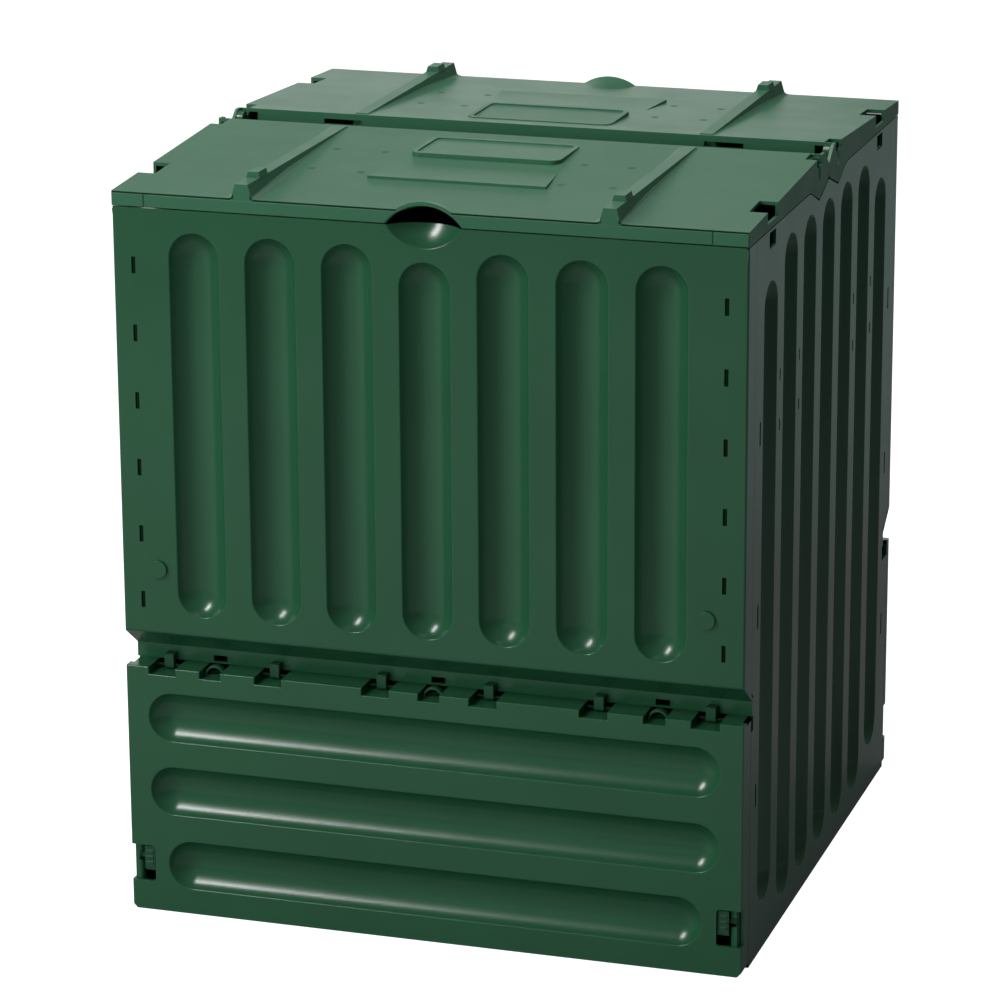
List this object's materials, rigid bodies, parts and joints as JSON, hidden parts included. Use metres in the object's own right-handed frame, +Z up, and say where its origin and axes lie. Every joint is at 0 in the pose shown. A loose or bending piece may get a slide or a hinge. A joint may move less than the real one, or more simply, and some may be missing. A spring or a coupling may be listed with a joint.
{
  "type": "compost bin",
  "caption": "Square plug-together compost bin with fluted walls, a pair of hinged lid halves, and hinged flaps with sliding locks at the foot of the front and rear.",
  "frame": {"origin": "centre of the footprint, at the level of the ground", "axes": "+Z up, +X to the right as seen from the front, +Y from the front to the rear; front and rear are alike, turned half round"},
  "size_m": [0.7, 0.706, 0.8415],
  "materials": {
    "panel_green": "satin moulded polypropylene, deep green",
    "fitting_green": "satin moulded polypropylene, slightly darker green"
  },
  "bodies": {
    "bin": {"front_panel": "panel_green", "rear_panel": "panel_green", "right_wall": "panel_green", "left_wall": "panel_green", "front_plug_right": "panel_green", "front_plug_left": "panel_green", "rear_plug_right": "panel_green", "rear_plug_left": "panel_green"},
    "front_flap": {"front_flap": "panel_green", "front_pin_1": "fitting_green", "front_pin_2": "fitting_green", "front_pin_3": "fitting_green", "front_pin_4": "fitting_green", "front_pin_5": "fitting_green", "front_pin_6": "fitting_green"},
    "rear_flap": {"rear_flap": "panel_green", "rear_pin_1": "fitting_green", "rear_pin_2": "fitting_green", "rear_pin_3": "fitting_green", "rear_pin_4": "fitting_green", "rear_pin_5": "fitting_green", "rear_pin_6": "fitting_green"},
    "front_lid": {"front_lid": "panel_green"},
    "rear_lid": {"rear_lid": "panel_green"},
    "front_latch_right": {"front_latch_right": "fitting_green"},
    "front_latch_left": {"front_latch_left": "fitting_green"},
    "rear_latch_right": {"rear_latch_right": "fitting_green"},
    "rear_latch_left": {"rear_latch_left": "fitting_green"}
  },
  "joints": [
    {"name": "front_lid_hinge", "type": "hinge", "parent": "bin", "child": "front_lid", "pos_m": [0, -0.022, 0.824], "axis": [-1, 0, 0], "range_deg": [0, 90]},
    {"name": "rear_lid_hinge", "type": "hinge", "parent": "bin", "child": "rear_lid", "pos_m": [0, 0.022, 0.824], "axis": [1, 0, 0], "range_deg": [0, 90]},
    {"name": "front_flap_hinge", "type": "hinge", "parent": "bin", "child": "front_flap", "pos_m": [0, -0.3243, 0.2828], "axis": [-1, 0, 0], "range_deg": [0, 80]},
    {"name": "rear_flap_hinge", "type": "hinge", "parent": "bin", "child": "rear_flap", "pos_m": [0, 0.3243, 0.2828], "axis": [1, 0, 0], "range_deg": [0, 80]},
    {"name": "front_latch_right_slide", "type": "slide", "parent": "front_flap", "child": "front_latch_right", "axis": [0, 0, -1], "range_m": [0, 0.012]},
    {"name": "front_latch_left_slide", "type": "slide", "parent": "front_flap", "child": "front_latch_left", "axis": [0, 0, -1], "range_m": [0, 0.012]},
    {"name": "rear_latch_right_slide", "type": "slide", "parent": "rear_flap", "child": "rear_latch_right", "axis": [0, 0, -1], "range_m": [0, 0.012]},
    {"name": "rear_latch_left_slide", "type": "slide", "parent": "rear_flap", "child": "rear_latch_left", "axis": [0, 0, -1], "range_m": [0, 0.012]}
  ]
}
